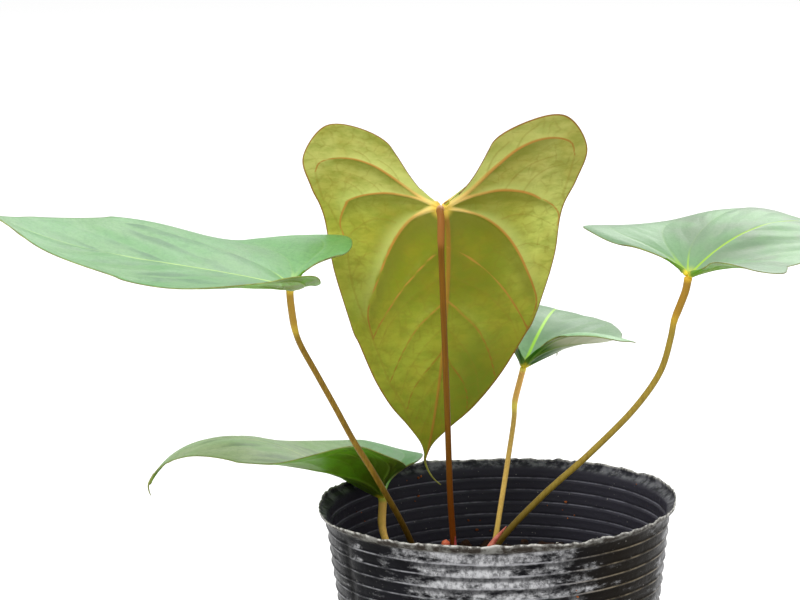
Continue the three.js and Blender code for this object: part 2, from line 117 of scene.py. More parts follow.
FINE_VEINS = (
    (0.35, 0.3, 0.2, 0.15, (
        (0.487, -0.165), (0.475, -0.09), (0.452, 0), (0.425, 0.08), (0.402, 0.14), (0.394, 0.21),
        (0.388, 0.27), (0.366, 0.36), (0.322, 0.455), (0.28, 0.532), (0.245, 0.6), (0.19, 0.7),
        (0.148, 0.755), (0.107, 0.81), (0.076, 0.88), (0.045, 0.925), (0.012, 0.965))),
    (0.3, 0.2, 0.15, 0.1, (
        (0.2, 0.075), (0.24, 0.065), (0.29, 0.068), (0.335, 0.09), (0.375, 0.12), (0.4, 0.14))),
    (0.3, 0.2, 0.15, 0.1, ((0.3, -0.04), (0.335, -0.085), (0.39, -0.12), (0.45, -0.132))),
    (0.25, 0.2, 0.1, 0.1, ((0.23, -0.055), (0.27, -0.105), (0.34, -0.15), (0.42, -0.17))),
    (0.25, 0.2, 0.1, 0.1, ((0.235, 0.2), (0.285, 0.195), (0.34, 0.215), (0.39, 0.25))),
    (0.25, 0.2, 0.1, 0.1, ((0.262, 0.27), (0.305, 0.28), (0.345, 0.31), (0.372, 0.345))),
    (0.25, 0.2, 0.1, 0.1, ((0.16, -0.115), (0.18, -0.165), (0.205, -0.205), (0.25, -0.245))),
    (0.25, 0.2, 0.1, 0.1, ((0.27, -0.21), (0.3, -0.26), (0.35, -0.295))),
    (0.3, 0.2, 0.15, 0.1, (
        (0, 0.26), (0.05, 0.3), (0.112, 0.345), (0.168, 0.405), (0.218, 0.48), (0.25, 0.56))),
    (0.3, 0.2, 0.15, 0.1, ((0, 0.47), (0.045, 0.525), (0.09, 0.59), (0.125, 0.67), (0.14, 0.745))),
    (0.3, 0.2, 0.12, 0.1, ((0, 0.67), (0.03, 0.72), (0.055, 0.78), (0.068, 0.85))),
    (0.3, 0.2, 0.12, 0.1, ((0, 0.76), (0.018, 0.81), (0.035, 0.87), (0.042, 0.915))),
)

# The leaves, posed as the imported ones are. joint is where the stalk meets the blade. heading, tilt and
# roll turn the blade's plane. rise and bend give the climb out of that plane at the joint, and its
# change per blade length, in nine directions round the joint every 45 degrees: from the left edge of
# the notch, over the tip, to the right edge. droop is the further bend towards the tip; lobes and
# spread scale the two sides as (left, right). tail holds the drip tip's steps, stalk the stalk's way.
# sway is how far the midrib bows to the right in mm, and veer how much further out, as a share, the
# veins of the (left, right) lobe are looked up. Both are 0 where a leaf doesn't name them.
LEAVES = (
    dict(joint=(-16.5, 5, 210.5), length=90, width=1.02, heading=95, tilt=-72, roll=-19,
         rise=(13, 22, 10, 2, -8, 14, 20, 5, -20), bend=(8, -15, -25, -40, -3, 9, 21, 10, -18),
         droop=-12, lobes=(0.86, 1.12), spread=(0.93, 1.01),
         tail=((1.1, 0, -3.6), (2.9, -0.4, -6.4), (5.2, -1, -8.4)), radius=1.03, sway=3.1,
         veer=(0.25, -0.06),
         stalk=((-14.5, 0.5, 76), (-15.1, 0, 95), (-15.8, -1, 111), (-16.2, -3, 146), (-16.7, -3.5, 180),
                (-16.9, -2.6, 200), (-16.7, 0, 208))),
    dict(joint=(-66.5, -45, 195), length=106, width=1.04, heading=190, tilt=6, roll=5,
         rise=(20, 16, 12, 13, 13, 13, 10, 12, 9), bend=(-6, 20, 13, -30, -38, -22, -36, -28, -26),
         droop=55, lobes=(0.64, 0.98), spread=(0.76, 0.91),
         tail=((-2.8, -0.8, 0.2), (-5, -1.5, -0.8)), radius=1,
         stalk=((-23.5, -5, 76), (-29, -9.5, 97.5), (-40.7, -22, 125), (-47.4, -26.5, 138),
                (-53.5, -31, 151.5), (-59.5, -35.5, 164.5), (-63.9, -38.5, 174), (-65.4, -40.5, 179),
                (-66.4, -43.5, 187))),
    dict(joint=(66.2, 5, 185), length=81, width=0.99, heading=38, tilt=-14, roll=-1,
         rise=(4, 26, 45, 52, 48, 33, 28, 22, 20), bend=(-25, -55, -95, -68, -55, -50, -58, -44, -32),
         droop=-20, lobes=(1.1, 1.0), spread=(0.8, 0.82),
         tail=((1.8, 1.2, -1.2), (2.8, 2.2, -3)), radius=1.1,
         stalk=((-12, -3.5, 76), (0.2, -3, 96), (14.6, -2, 111), (32.2, 0, 126), (48.2, 2, 141.5),
                (56.3, 3, 153), (59.8, 3.5, 164), (61.1, 3.8, 170), (62.9, 4, 174.5), (65.1, 4.5, 180))),
    dict(joint=(11.5, 52, 144.5), length=79, width=1.0, heading=74, tilt=6, roll=-16,
         rise=(40, 55, 60, 40, 35, 37, 47, 70, 58), bend=(-60, -63, -80, -98, -74, -68, -72, -115, -102),
         droop=-36, lobes=(1.0, 1.17), spread=(1.2, 0.88),
         tail=((0.2, 0.8, -1.6), (0, 1, -3)), radius=0.9,
         stalk=((-6, 4, 76), (-0.8, 8, 94), (1.4, 18, 102), (4.8, 32, 116), (7.5, 42, 128.5),
                (8, 46, 133.3), (9.8, 50, 139))),
    dict(joint=(-39, 25.5, 106), length=92, width=0.91, heading=174, tilt=-4, roll=-4,
         rise=(52, 39, 45, 33, 30, 31, 35, 28, 31), bend=(-35, -64, -40, -16, 37, -11, -64, -81, -45),
         droop=-128, lobes=(0.73, 0.86), spread=(0.87, 0.8),
         tail=((0, -0.4, -2), (0.6, -0.8, -3.8)), radius=1.2,
         stalk=((-26, 6, 76), (-34, 10, 86), (-38, 15, 92.5), (-39.3, 20, 97), (-39.2, 23.5, 100.5))),
)


def linear(colour):
    """A display colour, 0xRRGGBB, as the linear colour that Blender takes."""
    shares = [(colour >> shift & 255) / 255 for shift in (16, 8, 0)]
    return [s / 12.92 if s <= 0.04045 else ((s + 0.055) / 1.055) ** 2.4 for s in shares] + [1]


class Paint:
    """A material with one Principled shader, and short ways to add the nodes that feed it. Its colour
    is a pile of layers on base. Where a node takes a value, an attribute's name stands for what it
    holds, and a tuple that starts with a value for the arguments of between."""

    def __init__(self, name, roughness, shine, base):
        self.material = bpy.data.materials.new(name)
        self.material.use_nodes = True
        self.tree = self.material.node_tree
        self.shader = self.tree.nodes["Principled BSDF"]
        self.shader.inputs["Roughness"].default_value = roughness
        self.shader.inputs["Specular IOR Level"].default_value = shine
        self.colour = base

    def node(self, kind, inputs, **settings):
        node = self.tree.nodes.new(kind)
        for key, value in settings.items():
            setattr(node, key, value)
        for key, value in inputs.items():
            self.feed(node.inputs[key], value)
        return node

    def feed(self, socket, value):
        """Sets or links a socket. A whole number is a display colour where the socket takes one."""
        if isinstance(value, tuple) and isinstance(value[0], (str, bpy.types.NodeSocket)):
            value = self.between(*value)
        if isinstance(value, str):
            value = self.read(value)
        if isinstance(value, bpy.types.NodeSocket):
            self.tree.links.new(value, socket)
        else:
            named = socket.type == "RGBA" and isinstance(value, int)
            socket.default_value = linear(value) if named else value

    def read(self, attribute, output="Fac"):
        return self.node("ShaderNodeAttribute", {}, attribute_name=attribute).outputs[output]

    def place(self):
        """The surface's own place, in metres."""
        return self.node("ShaderNodeTexCoord", {}).outputs["Object"]

    def scaled(self, vector, factors):
        inputs = {0: vector, 1: factors}
        return self.node("ShaderNodeVectorMath", inputs, operation="MULTIPLY").outputs[0]

    def noise(self, vector, scale, detail=3, roughness=0.55):
        inputs = {"Vector": vector, "Scale": scale, "Detail": detail, "Roughness": roughness}
        return self.node("ShaderNodeTexNoise", inputs).outputs["Fac"]

    def between(self, value, low, high, out_low=0, out_high=1):
        """value's way from low to high, as a smooth step from out_low to out_high."""
        inputs = {"Value": value, "From Min": low, "From Max": high,
                  "To Min": out_low, "To Max": out_high}
        node = self.node("ShaderNodeMapRange", inputs, interpolation_type="SMOOTHSTEP")
        return node.outputs["Result"]

    def combined(self, operation, *values):
        """The values, joined one after another by a mathematical operation."""
        result = values[0]
        for value in values[1:]:
            node = self.node("ShaderNodeMath", {0: result, 1: value}, operation=operation)
            result = node.outputs[0]
        return result

    def product(self, *values):
        return self.combined("MULTIPLY", *values)

    def blend(self, share, under, over):
        """The colour under with the colour over laid on it by share."""
        node = self.node("ShaderNodeMix", {}, data_type="RGBA")
        colours = [s for s in node.inputs if s.type == "RGBA"]
        for socket, value in zip([node.inputs["Factor"], *colours], (share, under, over)):
            self.feed(socket, value)
        return [s for s in node.outputs if s.type == "RGBA"][0]

    def lay(self, tone, *shares):
        """Lays tone on the layers before it, by the product of the shares."""
        self.colour = self.blend(self.product(*shares), self.colour, tone)

    def finish(self, roughness=None, height=None, depth=0.0):
        """The material, where they are given with its own roughness and a bump depth mm deep."""
        self.feed(self.shader.inputs["Base Color"], self.colour)
        if roughness is not None:
            self.feed(self.shader.inputs["Roughness"], roughness)
        if height is not None:
            inputs = {"Height": height, "Distance": depth * MM, "Strength": 1.0}
            bump = self.node("ShaderNodeBump", inputs)
            self.feed(self.shader.inputs["Normal"], bump.outputs["Normal"])
        return self.material


class LeafPaint(Paint):
    """A blade's finish. Its patterns follow flat, the place on the flat blade in mm, and reach, the
    distance from the stalk joint."""

    def __init__(self, name, roughness, shine, base):
        super().__init__(name, roughness, shine, base)
        self.flat = self.read("leaf", "Vector")
        level = self.scaled(self.flat, (1, 1, 0))
        length = self.node("ShaderNodeVectorMath", {0: level}, operation="LENGTH")
        self.reach = length.outputs["Value"]
        self.across, self.along, _ = self.node("ShaderNodeSeparateXYZ", {"Vector": self.flat}).outputs

    def line(self, name, core, soft, strength):
        """How strongly the veins of one kind show: fully within core half-widths, not beyond soft."""
        return self.product((name, core, soft, strength, 0), (name + "_away", 0.75, 1.3, 1, 0))

    def vein_net(self, strength):
        """The net of the finest veins, as bent cells some 4 mm wide."""
        wander = self.node("ShaderNodeTexNoise", {"Vector": self.flat, "Scale": 0.25}).outputs["Color"]
        inputs = {0: wander, 1: (3, 3, 0), 2: self.flat}
        bent = self.node("ShaderNodeVectorMath", inputs, operation="MULTIPLY_ADD").outputs[0]
        inputs = {"Vector": bent, "Scale": 0.24}
        cells = self.node("ShaderNodeTexVoronoi", inputs, feature="DISTANCE_TO_EDGE")
        broken = self.noise(self.flat, 0.3, 3)
        return self.product((cells.outputs["Distance"], 0, 0.13, strength, 0), (broken, 0.35, 0.6))

    def grained(self, scale, smooth, rough, bump_scale, depth):
        """The finished material, from smooth to rough in grains, with a fine relief."""
        grain = self.between(self.noise(self.flat, scale, 4), 0.3, 0.7, smooth, rough)
        return self.finish(grain, self.noise(self.flat, bump_scale, 5), depth)


def added(name, data):
    """A new object in the scene."""
    made = bpy.data.objects.new(name, data)
    bpy.context.scene.collection.objects.link(made)
    return made


def piece(name, points, faces, materials, numbers=(), slots=None):
    """A smooth mesh from points in mm, with its materials, the points' values and each face's slot."""
    mesh = bpy.data.meshes.new(name)
    mesh.from_pydata((np.asarray(points, float) * MM).tolist(), [], faces)
    mesh.polygons.foreach_set("use_smooth", [True] * len(faces))
    if slots is not None:
        mesh.polygons.foreach_set("material_index", slots)
    for material in materials:
        mesh.materials.append(material)
    for key, values in dict(numbers).items():
        values = np.asarray(values, np.float32)
        kind, part = ("FLOAT", "value") if values.ndim == 1 else ("FLOAT_VECTOR", "vector")
        mesh.attributes.new(key, kind, "POINT").data.foreach_set(part, values.ravel())
    mesh.update()
    return added(name, mesh)


# How finely a way is followed between two of its points, and a blade's bend from its joint.
SPAN_STEPS = 24
BEND_STEPS = 14
# Between which knots each step of the spline blends, to get from four points to one.
SPLINE_SPANS = (((0, 1), (1, 2), (2, 3)), ((0, 2), (1, 3)), ((1, 2),))


def run_along(points, power=1):
    """The sums of the steps from point to point, with each step's length taken to power."""
    return np.concatenate([[0], np.cumsum(np.linalg.norm(np.diff(points, axis=0), axis=1) ** power)])


def smooth_way(points, count):
    """count points spaced evenly along a smooth curve through points, and the curve's length."""
    points = np.asarray(points, float)
    before = 2 * points[0] - points[1]
    after = 2 * points[-1] - points[-2]
    p = np.vstack([before, points, after])
    knots = run_along(p, 0.5)
    fine = []
    for i in range(1, len(p) - 2):
        near, values = knots[i - 1:i + 3], p[i - 1:i + 3]
        t = np.linspace(near[1], near[2], SPAN_STEPS, endpoint=False)[:, None]
        for spans in SPLINE_SPANS:
            values = [(near[b] - t) / (near[b] - near[a]) * values[k]
                      + (t - near[a]) / (near[b] - near[a]) * values[k + 1]
                      for k, (a, b) in enumerate(spans)]
        fine.append(values[0])
    fine = np.vstack(fine + [points[-1:]])
    run = run_along(fine)
    wanted = np.linspace(0, run[-1], count)
    return np.stack([np.interp(wanted, run, fine[:, k]) for k in range(fine.shape[1])], -1), run[-1]


def smoothstep(x, low, high):
    u = np.clip((x - low) / (high - low), 0, 1)
    return u * u * (3 - 2 * u)


def hump(x, reach):
    """1 where x is 0, and less the further x is from it, for as far as reach."""
    return np.exp(-(x / reach) ** 2)


def catmull(before, here, there, after, u):
    square = 2 * before - 5 * here + 4 * there - after
    cube = 3 * here - before - 3 * there + after
    return 0.5 * (2 * here + (there - before) * u + square * u ** 2 + cube * u ** 3)


def flat_points(column, t):
    """(across, along) of half a flat blade at each column and share t of the way to the margin."""
    i = np.minimum(column.astype(int), len(ROWS) - 2)
    u = (column - i)[..., None]
    last = len(ROWS) - 1
    before = np.vstack([NOTCH_ROW, ROWS])[i]
    row = catmull(before, ROWS[i], ROWS[i + 1], ROWS[np.minimum(i + 2, last)], u)
    root, control_across, control_along, margin_across, margin_along = np.moveaxis(row, -1, 0)
    across = 2 * t * (1 - t) * control_across + t ** 2 * margin_across
    along = (1 - t) ** 2 * root + 2 * t * (1 - t) * control_along + t ** 2 * margin_along
    return np.stack([across, along], -1)


def by_direction(values, angle):
    """A smooth value between the nine directions round the joint."""
    v = np.asarray(values, float)
    place = np.clip(angle / math.pi * 4 + 4, 0, 7.9999)
    i = place.astype(int)
    before = np.where(i == 0, 2 * v[0] - v[1], v[np.maximum(i - 1, 0)])
    after = np.where(i == 7, 2 * v[8] - v[7], v[np.minimum(i + 2, 8)])
    return catmull(before, v[i], v[i + 1], after, place - i)


def blade_frame(leaf):
    """The directions to the tip, to the blade's right side and out of its top."""
    heading, tilt, roll = (math.radians(leaf[k]) for k in ("heading", "tilt", "roll"))
    tipward = np.array([math.cos(tilt) * math.cos(heading), math.cos(tilt) * math.sin(heading),
                        math.sin(tilt)])
    level = np.array([math.sin(heading), -math.cos(heading), 0.0])
    upright = np.cross(level, tipward)
    right = level * math.cos(roll) + upright * math.sin(roll)
    normal = upright * math.cos(roll) - level * math.sin(roll)
    return tipward, right, normal


def grown(leaf, side, flat):
    """Where points of the flat blade lie on the grown one, in mm; side is 1 right and -1 left."""
    tipward, right, normal = blade_frame(leaf)
    half = 1 if side > 0 else 0
    across = flat[..., 0] * side * leaf["width"]
    along = np.where(flat[..., 1] < 0, flat[..., 1] * leaf["lobes"][half], flat[..., 1])
    reach = np.hypot(across, along)
    angle = np.where(reach < 1e-9, 0.0, np.arctan2(across, along))
    turn = angle * leaf["spread"][half]
    rise = np.radians(by_direction(leaf["rise"], angle))
    bend = np.radians(by_direction(leaf["bend"], angle))
    droop = math.radians(leaf["droop"]) * np.clip(np.cos(angle), 0, 1) ** 2
    slices = (np.arange(BEND_STEPS) + 0.5) / BEND_STEPS
    way = reach[..., None] * slices
    climb = rise[..., None] + bend[..., None] * way + droop[..., None] * way ** 2
    out = (np.cos(climb).mean(-1) * reach * leaf["length"])[..., None]
    up = (np.sin(climb).mean(-1) * reach * leaf["length"])[..., None]
    turn = turn[..., None]
    return np.array(leaf["joint"]) + out * (np.cos(turn) * tipward + np.sin(turn) * right) + up * normal


def softened(grid):
    """The grid's values, each averaged twice with its neighbours."""
    for _ in range(2):
        wide = np.pad(grid, 1, mode="edge")
        grid = (wide[:-2, 1:-1] + wide[2:, 1:-1] + wide[1:-1, :-2] + wide[1:-1, 2:] + 2 * grid) / 6
    return grid


def vein_field(flat, veins, length):
    """At each point: the distance to the nearest vein in half-widths and in mm, the relief, and the
    painted
    shade and light beside the veins: painted shade above 0 on their tipward sides and painted light
    below
    0 on the others."""
    points = flat.reshape(-1, 2) * length
    near = np.full(len(points), 1e3)
    plain = np.full(len(points), 1e3)
    relief = np.zeros(len(points))
    shade = np.zeros(len(points))
    for number, (width0, width1, height0, height1, way) in enumerate(veins):
        curve = smooth_way(way, 40)[0] * length
        best = np.full(len(points), 1e6)
        share = np.zeros(len(points))
        hand = np.ones(len(points))
        for k in range(len(curve) - 1):
            step = curve[k + 1] - curve[k]
            off = points - curve[k]
            u = np.clip(off @ step / (step @ step), 0, 1)
            away = np.linalg.norm(off - u[:, None] * step, axis=1)
            closer = away < best
            best = np.where(closer, away, best)
            share = np.where(closer, (k + u) / (len(curve) - 1), share)
            hand = np.where(closer, np.where(step[0] * off[:, 1] > step[1] * off[:, 0], 1, -1), hand)
        width = width0 + (width1 - width0) * share
        height = height0 + (height1 - height0) * share
        # Each vein adds painted shade on its tipward side and painted light on the other, fading with
        # distance.
        begun = smoothstep(np.linalg.norm(points - curve[0], axis=1), *SHADE_START)
        ended = smoothstep(np.linalg.norm(points - curve[-1], axis=1), *SHADE_END)
        strength = 1 if number < BASAL_VEINS else LATERAL_SHADE
        shade += strength * begun * ended * hand * np.exp(-best / SHADE_REACH)
        near = np.minimum(near, best / width)
        plain = np.minimum(plain, best)
        relief = np.maximum(relief, height * hump(best, np.maximum(width, NARROWEST)))
    shade = softened(shade.reshape(flat.shape[:-1]))
    return [values.reshape(flat.shape[:-1]) for values in (near, plain, relief)] + [shade]


def vein_place(leaf, side, flat):
    """Where points of half a flat blade lie in the pattern of the veins."""
    veer = leaf.get("veer", (0, 0))[1 if side > 0 else 0]
    across, along = flat[..., 0], flat[..., 1]
    share = np.clip(along, 0, 1)
    bow = 2.25 * leaf.get("sway", 0) / leaf["length"] * share ** 0.45 * (1 - share) ** 0.8
    closer = np.where(along < 0, 1 + veer, 1)
    return np.stack([np.abs(across - side * bow), along * closer], -1)


# The blades' grid: the columns' spacing along the margin, the steps from the midrib to it, and how
# much closer they get there.
GRID_FINE = (0.0078, 72)
GRID_PLAIN = (0.0095, 56)
STEP_BIAS = 0.92
# The swellings between the veins: how high on the old leaf and on the green ones, which share lies
# below the blade's own level, how far the veins and the margin hold them down, and the small ones.
QUILT_OLD = 0.6
QUILT_GREEN = 0.28
QUILT_MIDDLE = 0.45
QUILT_REACH = 5
QUILT_END = 4
SMALL_QUILT = 0.15
SMALL_REACH = 2.5
# The blade's unevenness, the waves and the thinning of its margin, how much of the veins' relief
# sinks into the top, and the narrowest ridge.
ROUGH_DEPTH = 0.2
ROUGH_RATE = 0.11
ROUGH_END = 6
WAVE_RATE = 1.9
MARGIN_THINNING = 0.55
MARGIN_REACH = 0.8
TOP_GROOVE = 0.18
NARROWEST = 0.7
# How far a vein's painted shade and painted light reach from it, where along the vein they begin and
# end, in mm, and how strong they are beside the veins after the first ones.
SHADE_REACH = 4.5
SHADE_START = (1, 7)
SHADE_END = (2, 16)
BASAL_VEINS = 3
LATERAL_SHADE = 0.4
# The drip tip: where it starts along the blade, its radius there and its taper. BLUNT is how far a
# stem's end points stand out.
TAIL_START = 0.955
TAIL_ROOT = 0.5
TAIL_TAPER = 0.33
BLUNT = 0.6


def blade_columns(spacing):
    """Column numbers that are evenly spaced along the margin."""
    q = np.linspace(0, len(ROWS) - 1, 4001)
    run = run_along(flat_points(q, np.ones_like(q)))
    count = int(run[-1] / spacing)
    return np.interp(np.linspace(0, run[-1], count), run, q)


def blade(name, number, leaf, materials, grid, quilt):
    """A closed, veined blade with its drip tip: slot 0 on top, 1 below, 2 along the margin, 3 the tip.
    quilt is how many mm the blade swells between its veins."""
    spacing, steps = grid
    shares = np.linspace(0, 1, steps + 1) ** STEP_BIAS
    q, t = np.meshgrid(blade_columns(spacing), shares, indexing="ij")
    columns, rows = q.shape
    flat = flat_points(q, t)
    length = leaf["length"]
    edge = np.linalg.norm(flat - flat_points(q, np.ones_like(t)), axis=-1) * length

    def key(side, i, j):
        """What a grid point is known by: the two halves share the tip, the midrib and the joint."""
        if i == columns - 1:
            return "tip"
        if j == 0:
            return "joint" if q[i, 0] < FIRST_LATERAL else i
        return side, i, j

    ids, halves = {}, []
    for side in (1, -1):
        place = vein_place(leaf, side, flat)
        mid, mid_away, mid_relief, _ = vein_field(place, MIDRIB, length)
        vein, vein_away, relief, shade = vein_field(place, MAIN_VEINS, length)
        fine, fine_away, fine_relief, _ = vein_field(place, FINE_VEINS, length)
        open_way = np.minimum(vein_away, mid_away)
        cell = (1 - hump(open_way, QUILT_REACH)) * (1 - hump(edge, QUILT_END))
        small = 1 - hump(np.minimum(fine_away, open_way), SMALL_REACH)
        wave = MARGIN_WAVE * t ** 3 * np.sin(WAVE_RATE * q + side + length)
        lift = quilt * (cell - QUILT_MIDDLE) + SMALL_QUILT * small * cell + wave
        new = []
        for i, j in np.ndindex(columns, rows):
            if key(side, i, j) not in ids:
                ids[key(side, i, j)] = len(ids)
                new.append((i, j))
        new = tuple(np.transpose(new))
        across, along = (flat[new] * length).T
        seed = Vector((number * 7.3, side * 3.1, 0))
        rough = np.array([noise.noise(Vector((a * ROUGH_RATE, b * ROUGH_RATE, 0)) + seed)
                          for a, b in zip(across, along)])
        tones = {"mid": mid, "mid_away": mid_away, "vein": vein, "vein_away": vein_away, "fine": fine,
                 "fine_away": fine_away, "shade": shade, "edge": edge}
        half = {part: field[new] for part, field in tones.items()}
        half["points"] = grown(leaf, side, flat)[new]
        half["leaf"] = np.stack([side * across, along, np.full(len(along), number)], -1)
        half["lift"] = lift[new] + ROUGH_DEPTH * rough * np.minimum(half["edge"] / ROUGH_END, 1)
        half["ridge"] = np.maximum(np.maximum(relief, fine_relief), mid_relief)[new]
        halves.append(half)
    values = {part: np.concatenate([half[part] for half in halves]) for part in halves[0]}
    total = len(ids)

    faces = []
    for side in (1, -1):
        for i, j in np.ndindex(columns - 1, rows - 1):
            around = ((i, j), (i, j + 1), (i + 1, j + 1), (i + 1, j))
            corners = list(dict.fromkeys(ids[key(side, *at)] for at in around))
            if len(corners) > 2:
                faces.append(corners[::side])
    points = values["points"]
    a, b, c = (points[[face[k] for face in faces]] for k in range(3))
    normals = np.zeros_like(points)
    for face, normal in zip(faces, np.cross(b - a, c - a)):
        normals[face] += normal
    normals /= np.linalg.norm(normals, axis=1)[:, None]
    thick = BLADE_THICKNESS / 2 * (1 - MARGIN_THINNING * np.exp(-values["edge"] / MARGIN_REACH))
    up = points + normals * (values["lift"] + thick - TOP_GROOVE * values["ridge"])[:, None]
    down = points + normals * (values["lift"] - thick - values["ridge"])[:, None]
    border = [(0, j) for j in range(rows)] + [(i, rows - 1) for i in range(1, columns)]
    outline = [ids[key(1, *at)] for at in border]
    outline += [ids[key(-1, *at)] for at in border[-2:0:-1]]
    below = [[corner + total for corner in reversed(face)] for face in faces]
    rim = [[a, a + total, b + total, b] for a, b in zip(outline, outline[1:] + outline[:1])]
    slots = [0] * len(faces) + [1] * len(below) + [2] * len(rim)
    numbers = {part: np.concatenate([values[part]] * 2) for part in (*tones, "leaf")}
    made = piece(name, np.vstack([up, down]), faces + below + rim, materials, numbers, slots)
    neck, tip = (grown(leaf, 1, np.array([0.0, along])) for along in (TAIL_START, 1.0))
    way = [neck, tip] + [tip + np.array(step) for step in leaf["tail"]]
    tail = tube(name + "_tail", way, lambda s: TAIL_ROOT - TAIL_TAPER * s, materials[3:], sides=10)
    return joined(made, tail)


def ring_quads(count, sides, close=False):
    """The faces between count rings of points, and where close is set from the last to the first."""
    faces = []
    for i in range(count if close else count - 1):
        here, above = i * sides, (i + 1) % count * sides
        for j in range(sides):
            k = (j + 1) % sides
            faces.append([here + j, here + k, above + k, above + j])
    return faces


def closed_faces(count, sides):
    """The faces of a closed form: a top point, count rings of points below it and a bottom point."""
    last = 1 + (count - 1) * sides
    faces = [[0, 1 + j, 1 + (j + 1) % sides] for j in range(sides)]
    faces += [[a + 1, d + 1, c + 1, b + 1] for a, b, c, d in ring_quads(count, sides)]
    faces += [[last + j, last + sides, last + (j + 1) % sides] for j in range(sides)]
    return faces


def circle(radius, count):
    """count places on a circle, as (x, y)."""
    turns = [k / count * 2 * math.pi for k in range(count)]
    return [(radius * math.cos(turn), radius * math.sin(turn)) for turn in turns]


def tube(name, way, radius_at, materials, sides=20, pitch=0.6, extra=()):
    """A round stem along way, closed by blunt points. extra holds functions of the share of the way,
    each for a value that the points get."""
    count = max(8, int(smooth_way(way, 2)[1] / pitch))
    centre, _ = smooth_way(way, count)
    tangent = np.gradient(centre, axis=0)
    tangent /= np.linalg.norm(tangent, axis=1)[:, None]
    across = np.cross(tangent[0], (0.0, 1.0, 0.0))
    points, share_of = [], []
    for i in range(count):
        across = across - tangent[i] * (across @ tangent[i])
        across /= np.linalg.norm(across)
        other = np.cross(tangent[i], across)
        share = i / (count - 1)
        points += [centre[i] + x * across + y * other for x, y in circle(radius_at(share), sides)]
        share_of += [share] * sides
    first, last, top = len(points), len(points) + 1, (count - 1) * sides
    points.append(centre[0] - tangent[0] * radius_at(0) * BLUNT)
    points.append(centre[-1] + tangent[-1] * radius_at(1) * BLUNT)
    share_of += [0, 1]
    faces = ring_quads(count, sides)
    for j in range(sides):
        k = (j + 1) % sides
        faces += [[first, k, j], [last, top + j, top + k]]
    numbers = {key: [value(share) for share in share_of] for key, value in dict(extra).items()}
    return piece(name, points, faces, materials, numbers)


def joined(whole, *others):
    """One object from several, under the first one's name."""
    bpy.ops.object.select_all(action="DESELECT")
    for one in (whole, *others):
        one.select_set(True)
    bpy.context.view_layer.objects.active = whole
    bpy.ops.object.join()
    return whole


# Leaf finishes.
def leaf_top(name, dark, light, grey, lobe, lime, rim, lobed=0.5, lobe_end=12, shine=0.5):
    """The satin upper side: painted shade in soft bands beside the veins, and lime veins near the joint.
    lobed is how strongly the lobes take their own colour, which ends lobe_end mm from the joint."""
    paint = LeafPaint(name, 0.4, shine, light)
    flat, reach, along = paint.flat, paint.reach, paint.along
    paint.lay(grey, (paint.noise(flat, 0.05, 2), 0.38, 0.62))
    paint.lay(lobe, (along, lobe_end, -12, 0, lobed))
    mottle = paint.noise(flat, 0.06, 2)
    # Painted shade in soft bands on the tipward side of the veins.
    paint.lay(dark, ("shade", 0.01, 0.26, 0, 0.75), (reach, 8, 34, 0.1), (along, -6, 14, 0.15),
              (mottle, 0.36, 0.62, 0.15))
    paint.lay(dark, (paint.noise(flat, 0.5, 4, 0.65), 0.35, 0.7, 0, 0.22))
    paint.lay(dark, paint.vein_net(0.2))
    paint.lay(dark, paint.line("fine", 0.5, 1.8, 0.2))
    paint.lay(lime, paint.line("vein", 0.4, 1.2, 1), (reach, 3, 14, 0.85, 0.06))
    paint.lay(lime, paint.line("mid", 0.3, 1, 1), (reach, 18, 70, 0.95, 0.25))
    paint.lay(0xC8D850, (reach, 1, 5, 0.85, 0))
    paint.lay(rim, ("edge", 0.15, 0.55, 0.6, 0))
    return paint.grained(1.6, 0.36, 0.46, 0.9, 0.05)


def old_under():
    """The old leaf's underside: olive, paler in the lobes and outwards, with painted light on one side
    of each vein and painted shade on the other, and orange veins that turn brown."""
    paint = LeafPaint("leaf_old_under", 0.55, 0.16, 0x757B0E)
    flat, reach, across, along = paint.flat, paint.reach, paint.across, paint.along
    outwards = paint.combined("ABSOLUTE", across, 0)
    paint.lay(0x98A02E, (along, 26, 50))
    paint.lay(0x7E8616, (along, 58, 84))
    paint.lay(0xB4BA48, (outwards, 14, 34, 0, 0.9), (along, 48, 22))
    paint.lay(0xC2CA66, (across, 20, 40, 0, 0.9), (along, 42, 18))
    paint.lay(0xB0AF5C, (along, 12, -14, 0, 0.95))
    paint.lay(0x5C6A04, (across, -6, 12, 0, 0.8), (along, 38, 58))
    paint.lay(0x92861A, (paint.noise(flat, 0.06, 3), 0.4, 0.62, 0, 0.4))
    streaks = paint.noise(paint.scaled(flat, (0.7, 1.5, 1)), 0.2, 4, 0.65)
    paint.lay(0x6A7A10, (streaks, 0.38, 0.66, 0, 0.42))
    paint.lay(0x7A6C16, paint.vein_net(0.3))
    # Painted light on the notch side of each vein, stronger near the joint, and painted shade on its
    # tipward side.
    paint.lay(0xC2CA70, ("shade", -0.06, -0.8, 0, 0.55), (reach, 55, 20, 0.3))
    paint.lay(0x6E7018, ("shade", 0.02, 0.6, 0, 0.62))
    paint.lay(0x84701C, paint.line("fine", 0.4, 1.9, 0.3))
    vein = paint.blend((reach, 3, 20), 0xE8BC68, 0xB87E34)
    vein = paint.blend((reach, 28, 58), vein, 0x8C5A18)
    laterals = paint.combined("MAXIMUM", ("mid_away", 10, 24, 0.72), (reach, 18, 8))
    paint.lay(vein, paint.line("vein", 0.45, 1.2, 0.82), laterals)
    paint.lay(0xA06E24, paint.line("mid", 0.4, 1.1, 0.75))
    paint.lay(0xF0D880, (reach, 1, 12, 0.9, 0), paint.line("vein", 0.8, 2.4, 1))
    paint.lay(0xEDC850, (reach, 1.5, 5, 0.9, 0))
    paint.lay(0x86520F, ("edge", 0.3, 0.75, 0.85, 0), (along, 66, 84, 1, 0.2))
    return paint.grained(1.4, 0.48, 0.62, 0.8, 0.08)


